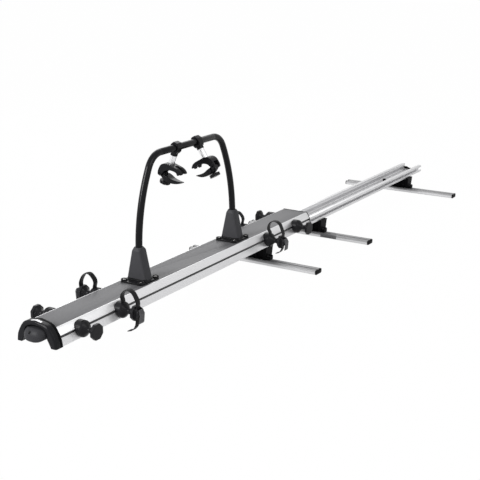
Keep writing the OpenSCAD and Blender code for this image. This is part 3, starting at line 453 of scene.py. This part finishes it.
@dataclass
class Studio:
    """The plain pale floor, the soft lights and the photograph's camera."""

    camera_place: tuple[float, float, float] = (-3.5277, -2.1306, 1.3194)
    camera_aim: tuple[float, float, float] = (0.8137, 0.5070, -0.2843)
    lens: float = 74.67
    sensor: float = 36.0
    clip: tuple[float, float] = (0.05, 100.0)
    floor_size: float = 40.0
    floor_tone: float = 0.8
    floor_roughness: float = 0.9
    floor_glow: float = 0.99
    world_strength: float = 0.45
    lamp_aim: tuple[float, float, float] = (-0.3, 0, 0.1)
    lamps: tuple[Lamp, ...] = (
        Lamp("key_lamp", (-6.0, 2.4, 3.2), 2.2, 420.0),
        Lamp("side_lamp", (-1.0, -3.4, 2.6), 2.0, 45.0),
        Lamp("fill_lamp", (2.5, 2.5, 3.0), 3.0, 60.0),
    )

    def camera(self) -> None:
        """Places the camera at the photograph's viewing angle."""
        data = bpy.data.cameras.new("camera")
        data.lens, data.sensor_width = self.lens, self.sensor
        data.clip_start, data.clip_end = self.clip
        eye = bpy.data.objects.new("camera", data)
        eye.location = self.camera_place
        eye.rotation_mode = "QUATERNION"
        eye.rotation_quaternion = Vector(self.camera_aim).to_track_quat("-Z", "Y")
        bpy.context.scene.collection.objects.link(eye)
        bpy.context.scene.camera = eye

    def floor(self, height: float) -> None:
        """Lays the floor under the part.

        Args:
            height: the floor's height.
        """
        sheet = bmesh.new()
        bmesh.ops.create_grid(sheet, x_segments=1, y_segments=1, size=self.floor_size / 2)
        mesh = bpy.data.meshes.new("floor")
        sheet.to_mesh(mesh)
        sheet.free()
        mesh.transform(Matrix.Translation((0, 0, height)))
        mesh.materials.append(self.floor_material())
        floor = bpy.data.objects.new("floor", mesh)
        bpy.context.scene.collection.objects.link(floor)
        floor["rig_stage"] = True

    @staticmethod
    def seen(tree: bpy.types.NodeTree) -> bpy.types.NodeSocket:
        """A value that is 1 to the camera and in reflections, and 0 to every other ray."""
        path = tree.nodes.new("ShaderNodeLightPath")
        return math_node(tree, "MAXIMUM", path.outputs["Is Camera Ray"],
                         path.outputs["Is Glossy Ray"])

    def floor_material(self) -> bpy.types.Material:
        """Builds the floor's material.

        Returns:
            White to the camera and in reflections, and a plain dull floor to every other ray.
        """
        made = bpy.data.materials.new("floor_white")
        made.use_nodes = True
        tree = made.node_tree
        shader = tree.nodes["Principled BSDF"]
        shader.inputs["Base Color"].default_value = (*[self.floor_tone] * 3, 1)
        shader.inputs["Roughness"].default_value = self.floor_roughness
        shader.inputs["Specular IOR Level"].default_value = 0.0
        glow = tree.nodes.new("ShaderNodeEmission")
        mix = tree.nodes.new("ShaderNodeMixShader")
        tree.links.new(math_node(tree, "MULTIPLY", self.seen(tree), self.floor_glow),
                       mix.inputs["Fac"])
        tree.links.new(shader.outputs[0], mix.inputs[1])
        tree.links.new(glow.outputs[0], mix.inputs[2])
        tree.links.new(mix.outputs[0], tree.nodes["Material Output"].inputs["Surface"])
        return made

    def world(self) -> None:
        """A plain white surround, at full strength to the camera and in reflections."""
        world = bpy.data.worlds.new("surround")
        world.use_nodes = True
        bpy.context.scene.world = world
        tree = world.node_tree
        gain = math_node(tree, "MULTIPLY", self.seen(tree), 1.0 - self.world_strength)
        back = tree.nodes["Background"]
        back.inputs["Color"].default_value = (1, 1, 1, 1)
        strength = math_node(tree, "ADD", gain, self.world_strength)
        tree.links.new(strength, back.inputs["Strength"])

    def build(self, height: float) -> None:
        """Sets up everything round the part.

        Args:
            height: the floor's height.
        """
        self.camera()
        self.floor(height)
        self.world()
        for lamp in self.lamps:
            lamp.hang(Vector(self.lamp_aim))


# Copies of the CAD nodes, with the edges that the mould or the die leaves

FaceLook = Callable[[Vector], int]
Shaping = Callable[[bmesh.types.BMesh], None]
SLOTS: dict[str, Slot] = {row["node"]: Slot(row["material_slot"])
                          for row in frame["record"]["subparts"]}


def cad_shape(node: str) -> bmesh.types.BMesh:
    """Copies a CAD node's mesh and merges its doubles.

    Args:
        node: the CAD node.

    Returns:
        The copy.
    """
    shape = bmesh.new()
    shape.from_mesh(frame["nodes"][node].data)
    bmesh.ops.remove_doubles(shape, verts=shape.verts, dist=MERGE_DISTANCE)
    return shape


def flat_faced_shape(node: str) -> bmesh.types.BMesh:
    """Copies a CAD node's mesh and joins the triangles of its flat faces.

    Args:
        node: the CAD node.

    Returns:
        The copy.
    """
    shape = cad_shape(node)
    bmesh.ops.dissolve_limit(shape, angle_limit=FLAT_ANGLE, verts=shape.verts, edges=shape.edges)
    return shape


def break_edges(shape: bmesh.types.BMesh, edges: Sequence[bmesh.types.BMEdge],
                width: float) -> None:
    """Rounds edges over.

    Args:
        shape: the shape that they belong to.
        edges: the edges.
        width: the width that each round takes from its faces.
    """
    bmesh.ops.bevel(shape, geom=edges, offset=width, offset_type="OFFSET", segments=BEVEL_STEPS,
                    profile=0.5, affect="EDGES", clamp_overlap=True, material=-1)


def applied(source: bpy.types.Object) -> bmesh.types.BMesh:
    """Reads the shape that an object has once its modifiers are applied.

    Args:
        source: the object.

    Returns:
        The shape.
    """
    bpy.context.view_layer.update()
    shape = bmesh.new()
    shape.from_object(source, bpy.context.evaluated_depsgraph_get())
    return shape


def body_of(node: str) -> str:
    """The CAD body that a node belongs to."""
    return frame["nodes"][node]["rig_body"]


def add_piece(name: str, shape: bmesh.types.BMesh, looks: Sequence[Look], body: str,
              crease: float = DRAWN_CREASE) -> bpy.types.Object:
    """Turns a finished shape into a piece that rides on a body.

    Args:
        name: the piece's name.
        shape: its shape, which this frees.
        looks: its finishes, by material index.
        body: the CAD body that carries it.
        crease: the angle between faces past which an edge is shaded sharp, in degrees.

    Returns:
        The piece.
    """
    mesh = bpy.data.meshes.new(name)
    shape.to_mesh(mesh)
    shape.free()
    mesh.shade_smooth()
    mesh.set_sharp_from_angle(angle=math.radians(crease))
    for look in looks:
        mesh.materials.append(look.value.material())
    piece = bpy.data.objects.new(name, mesh)
    bpy.context.scene.collection.objects.link(piece)
    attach(piece, body)
    LOG.info("%s: %d faces on %s", name, len(mesh.polygons), body)
    return piece


def drawn_piece(node: str, looks: Sequence[Look], choose: FaceLook | None = None,
                cuts: Sequence[float] = ()) -> bpy.types.Object:
    """Replaces a drawn, turned or sawn node with a copy whose sharp edges are broken.

    Args:
        node: the CAD node.
        looks: its finishes.
        choose: picks the finish of a face by its middle.
        cuts: places along Y where the faces are split, so that a finish can end there.

    Returns:
        The piece.
    """
    shape = flat_faced_shape(node)
    for cut in cuts:
        bmesh.ops.bisect_plane(shape, geom=shape.verts[:] + shape.edges[:] + shape.faces[:],
                               plane_co=(0, cut, 0), plane_no=(0, 1, 0))
    sharp = [edge for edge in shape.edges if len(edge.link_faces) == 2 and edge.is_convex
             and edge.calc_face_angle(0) > SHARP_ANGLE]
    break_edges(shape, sharp, BROKEN_EDGE)
    if choose is not None:
        for face in shape.faces:
            face.material_index = choose(face.calc_center_median())
    piece = add_piece(node + "_drawn", shape, looks, body_of(node))
    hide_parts(node)
    return piece


def moulded_piece(node: str, looks: Sequence[Look], grid: float, share: float = KEPT_SHARE,
                  rounds: int = ROUNDS, shaping: Shaping | None = None) -> bpy.types.Object:
    """Replaces a moulded node with a copy whose edges and inner corners are rounded.

    Args:
        node: the CAD node.
        looks: its finishes, by material index.
        grid: the mesh's grid, which sets how wide the rounded edges are.
        share: the share of the grid's triangles that is kept.
        rounds: how often the grid is smoothed.
        shaping: further shaping, done on the fine grid.

    Returns:
        The piece.
    """
    mesh = bpy.data.meshes.new(node)
    shape = cad_shape(node)
    shape.to_mesh(mesh)
    shape.free()
    rough = bpy.data.objects.new(node + "_grid", mesh)
    bpy.context.scene.collection.objects.link(rough)
    voxels = rough.modifiers.new("grid", "REMESH")
    voxels.mode, voxels.voxel_size = "VOXEL", grid
    shape = applied(rough)
    for _ in range(rounds):
        bmesh.ops.smooth_vert(shape, verts=shape.verts, factor=SMOOTH_FACTOR, use_axis_x=True,
                              use_axis_y=True, use_axis_z=True)
    if shaping is not None:
        shape.normal_update()
        shaping(shape)
    shape.to_mesh(mesh)
    shape.free()
    rough.modifiers.clear()
    thinner = rough.modifiers.new("thinner", "DECIMATE")
    thinner.ratio = share
    shape = applied(rough)
    bpy.data.objects.remove(rough)
    piece = add_piece(node + "_moulding", shape, looks, body_of(node),
                      MOULDED_CREASE)
    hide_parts(node)
    return piece


# The sub-assemblies


@dataclass
class BaseRack:
    """The fixed rail on its crossbars and saddles."""

    bar_names: tuple[str, ...] = ("front", "middle", "rear")
    bar_places: tuple[float, ...] = (0.0, 0.509, 1.552)
    # The faces inside the slot, and those above the crown line, get painted shade.
    bar_slot_half: float = 7.5 * MM
    bar_slot_top: float = 18.2 * MM
    bar_crown: float = 12.5 * MM
    patch_y: tuple[float, float] = (-159 * MM, -76 * MM)
    patch_x: float = 492 * MM
    patch_z: float = 4 * MM
    channel_half: float = 50 * MM
    channel_top: float = 101 * MM
    # The faces inside the side tracks get painted light.
    track_z: tuple[float, float] = (79 * MM, 108 * MM)
    track_y: tuple[float, float] = (43 * MM, 58.3 * MM)
    saddle_grid: float = 1.2 * MM
    saddle_share: float = 0.25
    bar_looks: tuple[Look, ...] = (Look.BAR, Look.BAR_TOP, Look.GROOVE, Look.PATCH)
    rail_looks: tuple[Look, ...] = (Look.RAIL, Look.CHANNEL, Look.TRACK)

    def on_patch(self, centre: Vector) -> bool:
        """Whether a face of the middle bar is on its grey patch."""
        return (centre.x < self.patch_x and centre.z > self.patch_z
                and self.patch_y[0] < centre.y < self.patch_y[1])

    def bar_look(self, centre: Vector, place: float) -> int:
        """Picks the finish of a crossbar's face: its side, its crown with painted shade, its slot
        with painted shade, or the patch.

        Args:
            centre: the face's middle.
            place: the bar's place along X.

        Returns:
            The finish's index.
        """
        if place == self.bar_places[1] and self.on_patch(centre):
            return self.bar_looks.index(Look.PATCH)
        if abs(centre.x - place) < self.bar_slot_half and centre.z < self.bar_slot_top:
            return self.bar_looks.index(Look.GROOVE)
        return self.bar_looks.index(Look.BAR_TOP if centre.z > self.bar_crown else Look.BAR)

    def rail_look(self, centre: Vector) -> int:
        """Picks the finish of a rail's face: its edges, its channel, or its side tracks with
        painted light.

        Args:
            centre: the face's middle.

        Returns:
            The finish's index.
        """
        if abs(centre.y) < self.channel_half and centre.z < self.channel_top:
            return self.rail_looks.index(Look.CHANNEL)
        inside = (self.track_z[0] < centre.z < self.track_z[1]
                  and self.track_y[0] < abs(centre.y) < self.track_y[1])
        return self.rail_looks.index(Look.TRACK if inside else Look.RAIL)

    def bars(self) -> None:
        """The three crossbars with painted shade on their crowns and in their slots, their caps in
        the near black painted shade finish, and the plain patch on the middle one's front.
        """
        for name, place in zip(self.bar_names, self.bar_places):
            drawn_piece("crossbar_" + name, self.bar_looks,
                        lambda centre, x=place: self.bar_look(centre, x), cuts=self.patch_y)
        drawn_piece("crossbar_caps", (Look.SHADED_PLASTIC,))

    def rail(self) -> None:
        """The rail, its plug and catch, and what is fixed in it."""
        drawn_piece("base_rail", self.rail_looks, self.rail_look)
        # The plug and the catch take the near black finish with painted shade.
        drawn_piece("rail_end_plug", (Look.SHADED_PLASTIC,))
        drawn_piece("park_catch", (Look.SHADED_PLASTIC,))
        drawn_piece("front_roller_block", (Look.STEEL,))
        drawn_piece("track_stops", (Look.STOP,))

    def saddles(self) -> None:
        """The moulded saddles in the near black finish with painted shade, and their screws."""
        for name in self.bar_names:
            moulded_piece("saddle_" + name, (Look.SHADED_PLASTIC,), self.saddle_grid,
                          self.saddle_share)
        drawn_piece("saddle_bolts", (Look.DARK_STEEL,))

    def build(self) -> None:
        """Makes the rack."""
        self.bars()
        self.rail()
        self.saddles()


@dataclass
class Carriage:
    """The sliding profile with its panel, trim and rollers."""

    slot_face: float = 75.7 * MM
    slot_inside: float = 65.5 * MM
    slot_z: float = 116 * MM
    slot_half: float = 7.4 * MM

    def slot_look(self, centre: Vector) -> int:
        """The finish of a face by its middle: the profile's own, or the painted shade inside its
        side slot.
        """
        deep = self.slot_inside < abs(centre.y) < self.slot_face
        return int(deep and abs(centre.z - self.slot_z) < self.slot_half)

    def build(self) -> None:
        """Makes the carriage."""
        # The faces inside the side slot get painted shade.
        drawn_piece("carriage_shell", (Look.PROFILE, Look.GROOVE), self.slot_look)
        drawn_piece("top_panel", (Look.PANEL,))
        # The rear trim takes the near black finish with painted shade.
        drawn_piece("rear_trim", (Look.SHADED_PLASTIC,))
        drawn_piece("rear_roller_axles", (Look.STEEL,))
        drawn_piece("rear_rollers", (Look.NYLON,))
        drawn_piece("front_rollers", (Look.NYLON,))


@dataclass
class FrontCap:
    """The hood with its bare plate, and the handle with its lock."""

    hood_grid: float = 1.0 * MM
    handle_grid: float = 0.9 * MM
    groove_x: float = -1326 * MM
    groove_w: float = 1.1 * MM
    groove_deep: float = 0.9 * MM
    groove_cosine: float = 0.3
    hood_middle_z: float = 80 * MM
    plate_middle_x: float = -1339.5 * MM
    plate_size: tuple[float, float, float] = (9 * MM, 44 * MM, 0.7 * MM)
    plate_steps: tuple[int, int] = (6, 24)
    drop_height: float = 0.3

    def shape_hood(self, shape: bmesh.types.BMesh) -> None:
        """Presses the groove into the hood's outside, between its front and its rear band, and
        gives the rear band painted shade.

        Args:
            shape: the hood on its fine grid.
        """
        for vert in shape.verts:
            out = Vector((0, vert.co.y, vert.co.z - self.hood_middle_z)).normalized()
            if vert.normal.dot(out) > self.groove_cosine:
                near = math.exp(-((vert.co.x - self.groove_x) / self.groove_w) ** 2)
                vert.co -= vert.normal * self.groove_deep * near
        # Faces behind the groove take the near black finish with painted shade.
        for face in shape.faces:
            face.material_index = int(face.calc_center_median().x > self.groove_x)

    def plate(self, hood: bpy.types.Object) -> None:
        """Lays the bare bright plate on the hood's crown.

        Args:
            hood: the hood, which the plate follows.
        """
        surface = BVHTree.FromObject(hood, bpy.context.evaluated_depsgraph_get())
        depth, width, thickness = self.plate_size
        along, across = self.plate_steps
        shape = bmesh.new()
        bmesh.ops.create_grid(shape, x_segments=along, y_segments=across, size=0.5)
        bmesh.ops.scale(shape, vec=(depth, width, 1), verts=shape.verts)
        bmesh.ops.translate(shape, vec=(self.plate_middle_x, 0, self.drop_height),
                            verts=shape.verts)
        for vert in shape.verts:
            vert.co.z = surface.ray_cast(vert.co, -Z)[0].z
        bmesh.ops.smooth_vert(shape, verts=shape.verts, factor=SMOOTH_FACTOR, use_axis_z=True)
        top = bmesh.ops.extrude_face_region(shape, geom=shape.faces[:])
        raised = [item for item in top["geom"] if isinstance(item, bmesh.types.BMVert)]
        bmesh.ops.translate(shape, vec=(0, 0, thickness), verts=raised)
        bmesh.ops.recalc_face_normals(shape, faces=shape.faces)
        add_piece("cap_plate", shape, (Look.PLATE,), body_of("front_cap"))

    def build(self) -> None:
        """Makes the cap."""
        hood = moulded_piece("front_cap", (Look.HOOD, Look.SHADED_PLASTIC), self.hood_grid,
                             shaping=self.shape_hood)
        self.plate(hood)
        moulded_piece("pull_handle", (Look.HANDLE,), self.handle_grid)
        drawn_piece("lock_barrel", (Look.DARK_STEEL,))


@dataclass
class ArchStand:
    """The bent tube with its two feet and their screws."""

    foot_grid: float = 1.0 * MM
    plate_z: float = 159 * MM

    def shade_plate(self, shape: bmesh.types.BMesh) -> None:
        """Gives a foot's base plate and its rings the darker finish.

        Args:
            shape: the foot on its fine grid.
        """
        for face in shape.faces:
            face.material_index = int(face.calc_center_median().z < self.plate_z)

    def build(self) -> None:
        """Makes the arch."""
        drawn_piece("arch_tube", (Look.TUBE,))
        for end in End:
            moulded_piece("arch_foot_" + end.value, (Look.FOOT, Look.GLOSS_PLASTIC),
                          self.foot_grid, shaping=self.shade_plate)
        drawn_piece("foot_screws", (Look.STEEL,))


@dataclass
class WheelHolder:
    """One wheel holder, with its strap and lever where it has them."""

    side: Side
    number: int
    strapped: bool
    spool_grid: float = 0.9 * MM
    spool_rounds: int = 2
    lever_grid: float = 0.5 * MM
    lever_share: float = 0.4
    strap_round: float = 0.5 * MM
    strap_corner_angle: float = 1.0
    square_cosine: float = 0.35
    tooth_pitch: float = 5 * MM
    tooth_size: tuple[float, float, float] = (13 * MM, 2.2 * MM, 0.7 * MM)
    tooth_span: tuple[float, float] = (0.12, 0.9)

    @property
    def label(self) -> str:
        """The end of the holder's node names."""
        return f"{self.side.value}_{self.number}"

    def is_end(self, ring: Sequence[Vector], k: int) -> bool:
        """Whether a side of the strap's outline is one of its two square ends.

        Args:
            ring: the outline's corners.
            k: the corner that the side ends at.

        Returns:
            True where the outline turns square before and after the side.
        """
        before = (ring[k - 1] - ring[k - 2]).normalized()
        along = (ring[k] - ring[k - 1]).normalized()
        after = (ring[(k + 1) % len(ring)] - ring[k]).normalized()
        return max(abs(before.dot(along)), abs(along.dot(after))) < self.square_cosine

    def strap_line(self, shape: bmesh.types.BMesh) -> list[tuple[Vector, Vector]]:
        """Reads the strap's outer line from its side face.

        Args:
            shape: the strap's shape, with its flat faces joined.

        Returns:
            Points along the outer surface, each with the outward direction.
        """
        flank = max(shape.faces, key=lambda face: len(face.verts))
        ring = [vert.co.copy() for vert in flank.verts]
        first, second = [k for k in range(len(ring)) if self.is_end(ring, k)][:2]
        one = [ring[k % len(ring)] for k in range(first, second)]
        other = [ring[k % len(ring)] for k in range(first - 1, second - 1 - len(ring), -1)]
        count = min(len(one), len(other))
        middle = sum(ring, Vector()) / len(ring)
        outer, inner = one[:count], other[:count]
        if sum((p - middle).length for p in outer) < sum((p - middle).length for p in inner):
            outer, inner = inner, outer
        return [(p, (p - q).normalized()) for p, q in zip(outer, inner)]

    def add_teeth(self, shape: bmesh.types.BMesh, line: Sequence[tuple[Vector, Vector]],
                  middle_x: float) -> None:
        """Sets the ladder's teeth along the strap's outside.

        Args:
            shape: the strap's shape, which gets the teeth.
            line: points along the outer surface, each with the outward direction.
            middle_x: the strap's middle across its width.
        """
        lengths = [0.0]
        for (p, _), (q, _) in zip(line, line[1:]):
            lengths.append(lengths[-1] + (q - p).length)
        start, stop = (share * lengths[-1] for share in self.tooth_span)
        size = Matrix.Diagonal((*self.tooth_size, 1))
        for step in range(int((stop - start) / self.tooth_pitch)):
            place = start + step * self.tooth_pitch
            k = max(i for i, length in enumerate(lengths[:-1]) if length <= place)
            share = (place - lengths[k]) / (lengths[k + 1] - lengths[k])
            point = line[k][0].lerp(line[k + 1][0], share)
            out = line[k][1].lerp(line[k + 1][1], share).normalized()
            point.x, out.x = middle_x, 0.0
            turn = Matrix((X, out.cross(X), out)).transposed().to_4x4()
            bmesh.ops.create_cube(shape, size=1.0,
                                  matrix=Matrix.Translation(point) @ turn @ size)

    def strap(self) -> None:
        """The strap, with the teeth of its ladder along the outside."""
        node = "strap_" + self.label
        shape = flat_faced_shape(node)
        line = self.strap_line(shape)
        middle_x = sum(vert.co.x for vert in shape.verts) / len(shape.verts)
        corners = [edge for edge in shape.edges
                   if edge.calc_face_angle(0) > self.strap_corner_angle]
        break_edges(shape, corners, self.strap_round)
        self.add_teeth(shape, line, middle_x)
        piece = add_piece(node + "_ladder", shape, (Look.STRAP,), body_of(node),
                          STRAP_CREASE)
        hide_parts(node)

    def build(self) -> None:
        """Makes the holder."""
        moulded_piece("spool_" + self.label, (Look.PLASTIC,), self.spool_grid,
                      rounds=self.spool_rounds)
        drawn_piece("t_bolt_" + self.label, (Look.STEEL,))
        if self.strapped:
            self.strap()
            moulded_piece("lever_" + self.label, (Look.LEVER,), self.lever_grid,
                          self.lever_share)


@dataclass
class FrameClamp:
    """One clamp arm with its collar, tube, claw, jaw and knob."""

    end: End
    collar_grid: float = 0.6 * MM
    claw_grid: float = 0.7 * MM
    knob_grid: float = 0.6 * MM

    def build(self) -> None:
        """Makes the clamp."""
        moulded_piece("collar_" + self.end.value, (Look.GLOSS_PLASTIC,), self.collar_grid)
        drawn_piece("arm_tube_" + self.end.value, (Look.ARM,))
        moulded_piece("claw_" + self.end.value, (Look.GLOSS_PLASTIC,), self.claw_grid)
        moulded_piece("jaw_" + self.end.value, (Look.GLOSS_PLASTIC,), self.claw_grid)
        moulded_piece("knob_" + self.end.value, (Look.GLOSS_PLASTIC,), self.knob_grid)


def dress_cad_nodes() -> None:
    """Gives each CAD node the finish of its material slot in the record."""
    for name, node in frame["nodes"].items():
        node.data.materials.clear()
        node.data.materials.append(SLOT_LOOKS[SLOTS[name]].value.material())


def plain(corners: Iterable[Vector]) -> list[list[float]]:
    """A pair of corners as plain lists of numbers."""
    return [list(corner) for corner in corners]


def main() -> None:
    """Builds the looks piece by piece."""
    logging.basicConfig(level=logging.INFO, format="%(name)s: %(message)s")
    cad_box = plain(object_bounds())
    bpy.context.scene.view_settings.view_transform = "Standard"
    Studio().build(cad_box[0][2])
    dress_cad_nodes()
    for part in (BaseRack(), Carriage(), FrontCap(), ArchStand()):
        part.build()
    for side in Side:
        for number in HOLDER_NUMBERS:
            WheelHolder(side, number, number in STRAPPED_NUMBERS).build()
    for end in End:
        FrameClamp(end).build()


if __name__ == "__main__":
    main()
